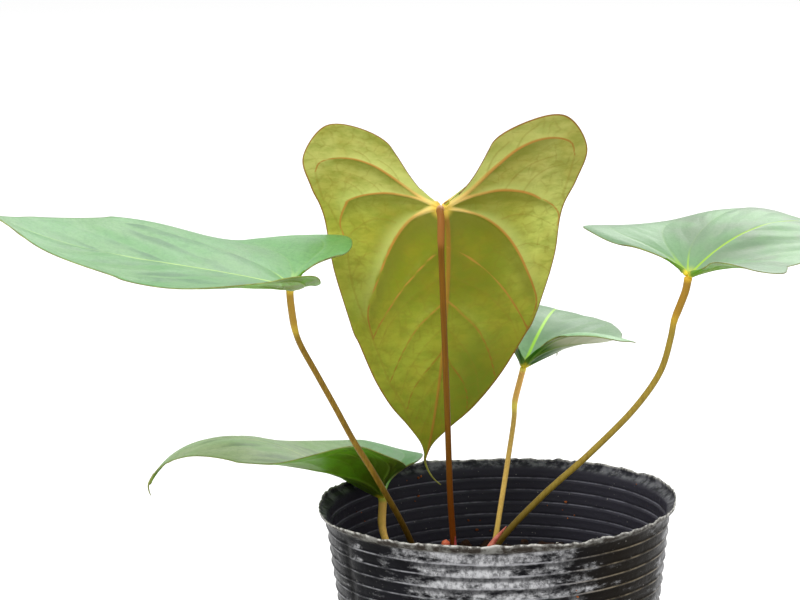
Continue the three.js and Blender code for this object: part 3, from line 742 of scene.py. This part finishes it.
def green_under(name, dark, light, painted_sheen, vein, outer=0, shine=0.3):
    """A young leaf's underside: glossy green, with a paler strip outwards, a painted sheen, where outer
    is above 0.
    """
    paint = LeafPaint(name, 0.4, shine, dark)
    paint.lay(light, (paint.noise(paint.flat, 0.05, 3), 0.38, 0.62))
    # The paler strip outwards is a painted sheen.
    paint.lay(painted_sheen, ("mid_away", 9, 20, 0, outer))
    # Painted shade on the tipward side of the veins.
    paint.lay(dark, ("shade", 0.05, 0.7, 0, 0.4))
    paint.lay(vein, paint.line("fine", 0.4, 1.7, 0.2))
    paint.lay(vein, paint.line("vein", 0.45, 1.3, 0.5))
    paint.lay(vein, paint.line("mid", 0.45, 1.3, 0.6))
    paint.lay(0xF0DC38, (paint.reach, 1, 3, 0.95, 0))
    paint.lay(0x7A8030, ("edge", 0.15, 0.55, 0.5, 0))
    return paint.grained(1.4, 0.38, 0.5, 0.8, 0.06)


def plain_paint(name, dark, light, scale, roughness, shine=0.5, depth=0.05):
    """A mottled finish: scale is in spots per metre."""
    paint = Paint(name, roughness, shine, dark)
    place = paint.place()
    paint.lay(light, (paint.noise(place, scale, 4), 0.35, 0.65))
    return paint.finish(None, paint.noise(place, scale * 4, 4), depth)


margin_old = plain_paint("margin_old", 0x6A430C, 0x8A5F1C, 300, 0.5)
margin_green = plain_paint("margin_green", 0x6A6A2A, 0x8C9848, 300, 0.5)
tail_old = plain_paint("tail_old", 0x6E6A18, 0x8A8A2C, 300, 0.5)
under_deep = green_under("leaf_deep_under", 0x52700C, 0x5E9416, 0x3A6E0C, 0x7E9C34)
# The fourth leaf's underside, with its painted sheen in a pale strip outwards.
under_with_sheen = green_under("leaf_sheen_under", 0x2A5A0A, 0x3A7210, 0xC4C8A4, 0x7A9A38, 0.9, 0.22)

# For each leaf, the finish below, along the margin and of the drip tip.
LEAF_BACKS = (
    (old_under(), margin_old, tail_old),
    (under_deep, margin_green, margin_green),
    (under_deep, margin_green, margin_green),
    (under_with_sheen, margin_green, margin_green),
    (under_deep, margin_green, margin_green),
)
# For each leaf, what leaf_top takes after the name.
LEAF_TONES = (
    (0x33581E, 0x4E7A2E, 0x5C8638, 0x4A7A2A, 0x9CB04A, 0x7A5014),
    (0x2E6A38, 0x629E5A, 0x6EA062, 0x72B462, 0xB0D868, 0x747440),
    (0x648A62, 0x7CA674, 0x80967A, 0x7A9C78, 0xA0CC3C, 0x747440),
    (0x507850, 0x628E58, 0x688A60, 0xACDCA4, 0xA4DC34, 0x747440, 0.75, 26),
    (0x526E40, 0x7CA060, 0x8AA06C, 0x2E8410, 0xACBE76, 0x4E6A20, 1, 18, 0.3),
)


def stalk_paint(name, foot, middle, shade, knee, joint):
    """A stalk: its colour at the foot and along it, its painted shade, laid in streaks and specks, and
    its colour in the knee and at the joint.
    """
    paint = Paint(name, 0.42, 0.1, middle)
    place = paint.place()
    streaks = paint.noise(paint.scaled(place, (1500, 1500, 60)), 1, 3)
    # Painted shade in streaks along the stalk.
    paint.lay(shade, (streaks, 0.35, 0.7, 0, 0.6))
    paint.lay(foot, ("way", 0.1, 0.5, 0.95, 0))
    paint.lay(knee, "knee")
    paint.lay(joint, "ring")
    paint.lay(joint, ("left", 0, 2.2, 0.95, 0))
    # Small dark specks, in the colour of the painted shade.
    paint.lay(shade, (paint.noise(place, 900, 2), 0.7, 0.76, 0, 0.5))
    return paint.finish(None, paint.noise(paint.scaled(place, (900, 900, 300)), 1, 4), 0.08)


# For each stalk, the colours that stalk_paint takes, the third of them its painted shade, and how
# strongly the knee's lower end shows.
STALK_TONES = (
    (0x74380C, 0x744C0A, 0x5A3408, 0x925E2A, 0xD0A074),
    (0x362404, 0x8C6E24, 0x5E4210, 0xA88432, 0xD4B83C),
    (0x5E4A14, 0x9A8434, 0x7A6224, 0x9C7428, 0xD0A830),
    (0xBC9C48, 0xD4B05C, 0xB89044, 0xF4BC68, 0xF8E468),
    # The fifth stalk's tones are lightened to make up for the shade it stands in, low in the pot:
    # painted light.
    (0xFFF0B4, 0xE6BC62, 0xC09448, 0xCCA450, 0xA8B040),
)
KNEE_RINGS = (0, 0.5, 0.5, 0.9, 0)
# A knee's length in mm, and the most that it takes of the stalk.
KNEE_LENGTH = 15
KNEE_SHARE = 0.3
# How far below the blade's middle its stalk ends, and for how long it stands square to the blade.
JOINT_DEPTH = 0.8
JOINT_STEP = 1.2
# How much thicker a stalk gets, as a share of its radius: at its foot, in the knee, at the knee's lower
# end and at the joint.
FOOT_SWELLING = 0.45
KNEE_SWELLING = 0.2
KNEE_COLLAR = 0.12
JOINT_FLARE = 0.12


def stalk(name, leaf, material, ring):
    """A leaf stalk with its swollen foot and the knee below the blade, up to the blade's underside. ring
    is how strongly the knee's lower end is coloured."""
    normal = blade_frame(leaf)[2]
    end = np.array(leaf["joint"]) - normal * JOINT_DEPTH
    way = [*leaf["stalk"], end - normal * JOINT_STEP, end]
    length = smooth_way(way, 2)[1]
    knee = min(KNEE_LENGTH, KNEE_SHARE * length)

    def left(share):
        return (1 - share) * length

    def radius_at(share):
        foot = FOOT_SWELLING * math.exp(-share * 14)
        swelling = KNEE_SWELLING * smoothstep(knee - left(share), 0, 2.5)
        collar = KNEE_COLLAR * hump(left(share) - knee, 0.8)
        flare = JOINT_FLARE * math.exp(-left(share) / 0.9)
        return leaf["radius"] * (1 + foot + swelling + collar + flare)

    extra = {"way": lambda share: share, "left": left,
             "knee": lambda share: 0.85 * smoothstep(knee + 1 - left(share), 0, 3),
             "ring": lambda share: ring * hump(left(share) - knee, 2.2)}
    return tube(name, way, radius_at, [material], sides=24, pitch=0.9, extra=extra)


for number, leaf in enumerate(LEAVES, 1):
    old = number == 1
    grid, quilt = (GRID_FINE, QUILT_OLD) if old else (GRID_PLAIN, QUILT_GREEN)
    finishes = [leaf_top(f"leaf_{number}_top", *LEAF_TONES[number - 1]), *LEAF_BACKS[number - 1]]
    made = blade(f"leaf_{number}", number, leaf, finishes, grid, quilt)
    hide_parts(f"blade_{number}")
    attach(made, "root")
    skin = stalk_paint(f"stalk_{number}_skin", *STALK_TONES[number - 1])
    made = stalk(f"stalk_{number}", leaf, skin, KNEE_RINGS[number - 1])
    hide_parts(f"petiole_{number}")
    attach(made, "root")


# What is left of a sheath's radius where it tapers off to a point, in mm.
SHEATH_POINT = 0.1
# The papery sheaths and the rolled new leaf: each one's name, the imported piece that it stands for, its
# radius, how far it tapers, its two tones and its way.
SHEATHS = (
    ("sheath_1", "cataphyll_1", 1.7, 0.25, 0xC8502C, 0xE07048,
     ((-18.5, -4, 76), (-18.8, -4.5, 88), (-17.7, -3.6, 97))),
    ("sheath_2", "cataphyll_2", 1.2, 1, 0x7A1818, 0xA83030,
     ((-15.2, -5.2, 76), (-14.6, -5.2, 88), (-14.5, -3.6, 98.8))),
    ("rolled_leaf", "new_leaf", 1.5, 1, 0xC05A48, 0xE08068,
     ((-10, -7.4, 78), (-2.8, -6.6, 95.5), (2.8, -6.2, 102.5))),
)
for name, node, radius, taper, dark, light, way in SHEATHS:
    skin = plain_paint(name + "_skin", dark, light, 700, 0.45, depth=0.1)
    made = tube(name, way, lambda s, r=radius, k=taper: r * (1 - k * s ** 3) + SHEATH_POINT, [skin])
    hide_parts(node)
    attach(made, "root")


# The pot. Its film is as thick as WALL, and thinner above the heights in THIN_LIP.
POT_SIDES = 280
RIB_LEVELS = (-1.4, -1.0, -0.7, -0.4, -0.2, 0, 0.2, 0.4, 0.7, 1.2)
LIP_HEIGHTS = (105.2, 106, 106.6, 107.1, 107.6, 108.1, 108.6, 109, 109.4, 109.7, 110)
THIN_LIP = ((107, 0.6), (108.5, 0.35))
BEAD_HEIGHT = 0.45
BEAD_WIDTH = 0.42
GROOVE_DEPTH = 0.2
LIP_FOOT = 106.9
LIP_TOP = 108.6
CREASE_AT = (-53, -28)
CREASE_WIDTH = 2.6
CREASE_DEPTH = 0.5
DENT_DEPTH = 0.22
FLOOR_RADIUS = 43.3
# How far the wall's two lowest rings are drawn in, which rounds the pot's bottom edge.
BASE_ROUNDING = (1.5, 0.6)
# The direction of a painted glare band, a painted reflection along the wall's right edge, and how far
# the band reaches, in radians.
GLARE_TURN = -0.12
GLARE_REACH = 0.27
angles = np.arange(POT_SIDES) / POT_SIDES * 2 * math.pi
ribs = np.arange(FIRST_RIB, LIP_START - 0.8, RIB_PITCH)


def wall_radius(z):
    return BASE_RADIUS + (RIM_RADIUS - BASE_RADIUS) * z / POT_HEIGHT


def bead(z, width=BEAD_WIDTH, lift=0.0):
    """1 on the crest of each rib, raised by lift, and 0 between the ribs."""
    away = np.abs(np.asarray(z)[:, None] - ribs - lift).min(axis=1)
    return hump(away, width)


def ring_noise(rate, seed):
    """A value from about -1 to 1 for each direction round the pot, with rate changes to a radian."""
    return np.array([noise.noise(Vector((x, y, seed))) for x, y in circle(rate, POT_SIDES)])


def pot_levels(start):
    """The heights of the wall's rings from start up, dense at the ribs and at the lip."""
    dense = [rib + level for rib in ribs if rib > start for level in RIB_LEVELS]
    return np.array([start, *dense, *LIP_HEIGHTS])


def pot_shell(materials):
    """The ribbed film wall with its ragged, flared lip, as one closed ring."""
    outer = np.concatenate([[0, 0.5], pot_levels(1.5)])
    inner = np.concatenate([pot_levels(MIX_TOP - 2)[::-1], [20, POT_FLOOR]])
    height = np.concatenate([outer, inner])
    radius = wall_radius(height) + LIP_FLARE * smoothstep(height, LIP_FOOT, LIP_TOP)
    radius += BEAD_HEIGHT * bead(height) - GROOVE_DEPTH * bead(height, 0.35, -0.8)
    radius[:2] -= BASE_ROUNDING
    inside = np.arange(len(height)) >= len(outer)
    thick = np.full(len(height), WALL)
    for start, thin in THIN_LIP:
        thick[height > start] = thin
    radius -= thick * inside
    cut = CUT_DEPTH * (0.6 * np.sin(3 * angles + 0.5) + 0.3 * np.sin(7 * angles)
                       + 0.25 * np.sin(13 * angles + 2))
    burr = 0.5 * ring_noise(14, 1) + 0.5 * ring_noise(45, 2)
    at_lip = smoothstep(height, 107.5, POT_HEIGHT)[:, None]
    heights = height[:, None] + at_lip * (cut + burr)
    bend = 0.5 * ring_noise(1.2, 5) + 0.15 * ring_noise(4, 6)
    radii = radius[:, None] + smoothstep(height, 20, POT_HEIGHT)[:, None] * bend
    radii += at_lip * 0.45 * ring_noise(25, 3)
    away = (angles - math.atan2(CREASE_AT[1], CREASE_AT[0]) % (2 * math.pi)) * RIM_RADIUS
    crease = hump(away, CREASE_WIDTH)
    creased = (smoothstep(height, 15, 60) * (1 - smoothstep(height, 103, 107)))[:, None]
    radii -= CREASE_DEPTH * crease * creased
    points = np.stack([radii * np.cos(angles), radii * np.sin(angles), heights], -1).reshape(-1, 3)
    dents = np.array([noise.noise(Vector((0.11 * x, 0.11 * y, 0.16 * z))) for x, y, z in points])
    dents *= smoothstep(points[:, 2], 4, 20)
    points[:, :2] *= 1 + DENT_DEPTH * dents[:, None] / RIM_RADIUS
    levels = {"crest": bead(height, 0.35), "below": bead(height, 0.8, -1.1), "inside": inside * 1.0,
              "lip": smoothstep(height, LIP_FOOT - 0.2, LIP_FOOT + 0.8),
              "burr": smoothstep(height, 109.2, 109.8)}
    numbers = {key: np.repeat(values, POT_SIDES) for key, values in levels.items()}
    numbers["crease"] = (crease * np.minimum(creased * 2, 1)).ravel()
    # right holds the painted glare band, a painted reflection.
    turn = (angles + math.pi) % (2 * math.pi) - math.pi
    numbers["right"] = np.tile(hump(turn - GLARE_TURN, GLARE_REACH), len(height))
    faces = ring_quads(len(height), POT_SIDES, close=True)
    return piece("pot_shell", points, faces, materials, numbers)


def pot_floor(materials):
    """The pot's floor with its drainage holes."""
    bpy.ops.mesh.primitive_cylinder_add(vertices=90, radius=FLOOR_RADIUS * MM, depth=POT_FLOOR * MM,
                                        location=(0, 0, (POT_FLOOR / 2 + 0.02) * MM))
    plate = bpy.context.object
    holes = []
    for x, y in circle(HOLE_RING * MM, HOLE_COUNT):
        bpy.ops.mesh.primitive_cylinder_add(vertices=32, radius=HOLE_RADIUS * MM,
                                            depth=6 * POT_FLOOR * MM, location=(x, y, 0))
        holes.append(bpy.context.object)
    cutter = joined(*holes)
    modifier = plate.modifiers.new("holes", "BOOLEAN")
    modifier.operation = "DIFFERENCE"
    modifier.object = cutter
    bpy.context.view_layer.objects.active = plate
    bpy.ops.object.modifier_apply(modifier=modifier.name)
    bpy.data.objects.remove(cutter)
    for material in materials:
        plate.data.materials.append(material)
    plate.data.transform(plate.matrix_world)
    plate.matrix_world = Matrix.Identity(4)
    return plate


def pot_paint():
    """Black film: scuffed white in front, with a painted glare band along its right edge, brownish on
    its right, painted lighter inside, with painted highlights and scuffs on its ribs, and painted shade
    below them and in its crease.
    """
    paint = Paint("pot_plastic", 0.38, 0.04, 0x0A0A0D)
    place = paint.place()
    x, y, _ = paint.node("ShaderNodeSeparateXYZ", {"Vector": place}).outputs
    outside = paint.combined("SUBTRACT", 1, "inside")
    paint.lay(0x16161A, (paint.noise(place, 60), 0.3, 0.7))
    brown = paint.product((x, 0.014, 0.04), (y, 0, -0.03, 0, 0.75))
    paint.lay(0x1A150D, brown)
    # The inside of the same film, painted lighter grey: painted light.
    paint.lay(0x36353D, "inside")
    wide = paint.scaled(place, (1, 1, 2.6))
    front = paint.product((x, -0.04, -0.018), (x, 0.04, 0), (y, -0.02, -0.05, 0, 0.21))
    fine = paint.product(paint.noise(wide, 340, 5, 0.7), 0.3)
    # cover holds the dust and also the painted glare band along the right edge.
    cover = paint.combined("ADD", paint.noise(wide, 95, 7, 0.68), front, (x, 0.022, 0.04, 0, -0.05),
                           paint.product("right", 0.26), fine)
    scratches = paint.noise(paint.scaled(place, (1.6, 1.6, 1.1)), 420, 6, 0.72)
    # Less dust just below each rib: painted shade beneath the ribs.
    dust_and_glare = paint.product((cover, 0.68, 0.93), (scratches, 0.36, 0.6, 0.3), ("below", 0.2, 0.9, 1, 0.25),
                         outside)
    paint.lay(0xC2C2C4, dust_and_glare, 0.9)
    # Light lines along the rib crests: painted highlights, broken up in places like scuffs.
    crest = paint.product(("crest", 0.35, 0.9), (paint.noise(place, 90, 6, 0.7), 0.38, 0.62, 0.1, 0.8))
    paint.lay(paint.blend(brown, 0x96969A, 0x80704A), crest, outside)
    paint.lay(0x7C7C86, crest, "inside")
    # Painted shade in the crease.
    paint.lay(0x040405, "crease", 0.95)
    worn = paint.between(paint.noise(place, 240, 5, 0.65), 0.42, 0.66, 0, 0.49)
    lip_in = paint.blend(worn, 0x2A2A30, 0x94949A)
    lip_out = paint.blend(worn, 0x302B26, 0xA0A09A)
    paint.lay(paint.blend("inside", lip_out, lip_in), "lip")
    paint.lay(0xC8C6C0, "burr", (paint.noise(place, 520, 4, 0.65), 0.4, 0.62, 0.15))
    paint.lay(0xBCB8B0, (paint.noise(place, 1300, 2), 0.71, 0.78, 0, 0.7))
    dents = paint.product(paint.noise(place, 120, 3), 2)
    bumps = paint.combined("ADD", paint.noise(wide, 500, 5), dents)
    return paint.finish((dust_and_glare, 0, 0.6, 0.3, 0.7), bumps, 0.16)


skin = pot_paint()
made = joined(pot_shell([skin]), pot_floor([skin]))
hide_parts("pot")
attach(made, "root")


# The potting mix: a rough bed, with chips of bark and a few grains of pumice on it.
random = np.random.default_rng(12)
BED_RADIUS = 53.3
BED_RINGS = 46
BED_SIDES = 150
BED_FOOT = 5
BED_FOOT_RADIUS = 45
CHIP_COUNT = 620
CHIP_REACH = 51.5
PUMICE_COUNT = 45
PUMICE_REACH = 51
# Four lumps that lie at the wall: each one's place and size.
LUMPS = (
    ((-10.2, 49.8, 81.4), 1.9), ((10.5, 49.8, 81.4), 1.6), ((-28, 43, 80), 2.4), ((30, 42, 80), 2),
)
LUMP_FLATNESS = 0.8
# How uneven, square and tilted the grains are.
GRAIN_ROUGH = 0.45
GRAIN_SQUARE = 0.75
GRAIN_TILT = 1.2
FULL_TURN = 6.28


def bed_height(x, y):
    wide = noise.noise(Vector((x * 0.06, y * 0.06, 3.3)))
    fine = noise.fractal(Vector((x * 0.35, y * 0.35, 8.1)), 1.0, 2.0, 3)
    return MIX_TOP + 1.4 * wide + 0.8 * fine


def bed(materials):
    points = [(0, 0, bed_height(0, 0))]
    for i in range(1, BED_RINGS + 1):
        points += [(x, y, bed_height(x, y)) for x, y in circle(BED_RADIUS * i / BED_RINGS, BED_SIDES)]
    points += [(x, y, BED_FOOT) for x, y in circle(BED_FOOT_RADIUS, BED_SIDES)]
    points.append((0, 0, BED_FOOT))
    return piece("potting_mix", points, closed_faces(BED_RINGS + 1, BED_SIDES), materials)


bpy.ops.mesh.primitive_ico_sphere_add(subdivisions=2, radius=1)
ball = bpy.context.object
BALL_POINTS = np.array([v.co for v in ball.data.vertices])
BALL_FACES = [list(f.vertices) for f in ball.data.polygons]
bpy.data.objects.remove(ball)


def grains(name, places, sizes, flatness, materials):
    """Loose irregular grains, each with its own tone, as one mesh."""
    points, faces, tones = [], [], []
    for place, size, flat in zip(places, sizes, flatness):
        shape = BALL_POINTS * (1 + GRAIN_ROUGH * (random.random((len(BALL_POINTS), 1)) - 0.5))
        shape = np.sign(shape) * np.abs(shape) ** GRAIN_SQUARE
        shape = shape * size * (1, 0.45 + 0.4 * random.random(), flat)
        turn = Matrix.Rotation(random.random() * FULL_TURN, 3, "Z")
        for axis in "XY":
            turn = turn @ Matrix.Rotation((random.random() - 0.5) * GRAIN_TILT, 3, axis)
        offset = len(points)
        points.extend((shape @ np.array(turn).T + place).tolist())
        faces.extend([[a + offset for a in face] for face in BALL_FACES])
        tones += [random.random()] * len(shape)
    return piece(name, points, faces, materials, {"tone": tones})


def grain_paint(name, dark, light):
    paint = Paint(name, 0.85, 0.25, dark)
    place = paint.place()
    paint.lay(light, "tone")
    paint.lay(dark, (paint.noise(place, 900, 4), 0.35, 0.65, 0, 0.5))
    return paint.finish(None, paint.noise(place, 900, 5), 0.4)


def bed_places(count, reach):
    places = []
    while len(places) < count:
        x, y = (random.random(2) - 0.5) * 2 * reach
        if math.hypot(x, y) < reach:
            places.append((x, y, bed_height(x, y) + 0.4))
    return places


bark = grain_paint("mix_bark", 0x1A100A, 0x4A2E1C)
pumice = grain_paint("mix_pumice", 0xB8B0A4, 0xE8E4DC)
soil = bed([plain_paint("mix_soil", 0x140D08, 0x2E1E14, 500, 0.95, 0.2, 0.6)])
chips = grains("chips", bed_places(CHIP_COUNT, CHIP_REACH), 1 + 2.2 * random.random(CHIP_COUNT) ** 2,
               0.3 + 0.3 * random.random(CHIP_COUNT), [bark])
lumps = grains("lumps", *zip(*LUMPS), [LUMP_FLATNESS] * len(LUMPS), [bark])
stones = grains("stones", bed_places(PUMICE_COUNT, PUMICE_REACH),
                0.8 + 1.2 * random.random(PUMICE_COUNT), 0.6 + 0.3 * random.random(PUMICE_COUNT),
                [pumice])
made = joined(soil, chips, lumps, stones)
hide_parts("substrate")
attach(made, "root")


# The rootstock: its middle, its size to each side, the way from the middle to its top, how deep its
# scars and its knobs are as shares of its size, and how many rings and sides its mesh has.
CROWN_CENTRE = np.array((-17, 1, 74))
CROWN_SIZE = np.array((14.6, 9.2, 10))
CROWN_END = np.array((0, 0, 10.2))
SCAR_DEPTH = 0.05
KNOB_DEPTH = 0.1
CROWN_RINGS = 30
CROWN_SIDES = 48


def crown():
    """The rootstock's bulb, ringed with old leaf scars."""
    points = [CROWN_CENTRE + CROWN_END]
    for i in range(1, CROWN_RINGS):
        down = i / CROWN_RINGS * math.pi
        z = math.cos(down)
        for x, y in circle(math.sin(down), CROWN_SIDES):
            knobs = noise.noise(Vector((3 * x, 3 * y, 3 * z)))
            swell = 1 + SCAR_DEPTH * math.sin(14 * z + 2 * x) + KNOB_DEPTH * knobs
            points.append(CROWN_CENTRE + CROWN_SIZE * (x, y, z) * swell)
    points.append(CROWN_CENTRE - CROWN_END)
    skin = plain_paint("crown_bark", 0x4A2E18, 0x86603A, 400, 0.85, 0.3, 0.8)
    return piece("crown", points, closed_faces(CROWN_RINGS - 1, CROWN_SIDES), [skin])


made = crown()
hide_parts("rootstock")
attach(made, "root")


# Crumbs of the mix that stick to the pot's wall in small clusters: the direction in degrees, the height
# and how many. CRUMB_SPREAD is how far a cluster reaches in degrees and up.
INNER_CRUMBS = ((120, 102, 5), (144, 97, 4), (158, 93, 4), (65, 92, 5), (28, 103, 3), (95, 88, 4))
OUTER_CRUMBS = ((-70, 88, 3), (-120, 76, 3), (-35, 70, 3), (-95, 62, 3))
CRUMB_SPREAD = (12, 9)


def wall_crumbs():
    places, sizes = [], []
    for clusters, offset in ((INNER_CRUMBS, -WALL - 0.05), (OUTER_CRUMBS, 0.15)):
        for direction, height, count in clusters:
            for _ in range(count):
                angle = math.radians(direction + CRUMB_SPREAD[0] * (random.random() - 0.5))
                z = height + CRUMB_SPREAD[1] * (random.random() - 0.5)
                r = wall_radius(z) + offset
                places.append((r * math.cos(angle), r * math.sin(angle), z))
                sizes.append(0.25 + 0.45 * random.random() ** 2)
    skin = grain_paint("crumb_bark", 0x5A2E16, 0xC06A34)
    return grains("crumbs", places, sizes, [0.7] * len(places), [skin])


made = wall_crumbs()
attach(made, "root")


# The floor, the light and the camera.
def lamp(name, place, target, size, watts):
    data = bpy.data.lights.new(name, "AREA")
    data.shape = "DISK"
    data.size = size
    data.energy = watts
    made = added(name, data)
    made.location = place
    made.rotation_euler = (Vector(target) - Vector(place)).to_track_quat("-Z", "Y").to_euler()


bpy.ops.mesh.primitive_plane_add(size=12, location=(0, 0, -0.0005))
ground = bpy.context.object
ground.name = "floor"
ground.data.materials.append(Paint("floor_white", 0.9, 0.0, 0xFBFBFB).finish())

world = bpy.data.worlds.new("studio")
world.use_nodes = True
world.node_tree.nodes["Background"].inputs["Color"].default_value = (1, 1, 1, 1)
world.node_tree.nodes["Background"].inputs["Strength"].default_value = 0.95
bpy.context.scene.world = world
lamp("key", (-0.7, -0.9, 1.5), (0, 0, 0.12), 0.9, 14)
lamp("back", (0.5, 1.2, 1.1), (0, 0, 0.15), 1.0, 9)

camera = added("camera", bpy.data.cameras.new("camera"))
camera.data.sensor_width = SENSOR_WIDTH
camera.data.lens = CAMERA_LENS
camera.data.clip_start = 0.05
camera.data.clip_end = 20
level = Matrix.Rotation(math.radians(90 - CAMERA_PITCH), 4, "X")
lean = Matrix.Rotation(math.radians(-CAMERA_ROLL), 4, "Z")
camera.matrix_world = Matrix.Translation(Vector(CAMERA_PLACE) * MM) @ level @ lean
bpy.context.scene.camera = camera
bpy.context.scene.view_settings.view_transform = "Standard"
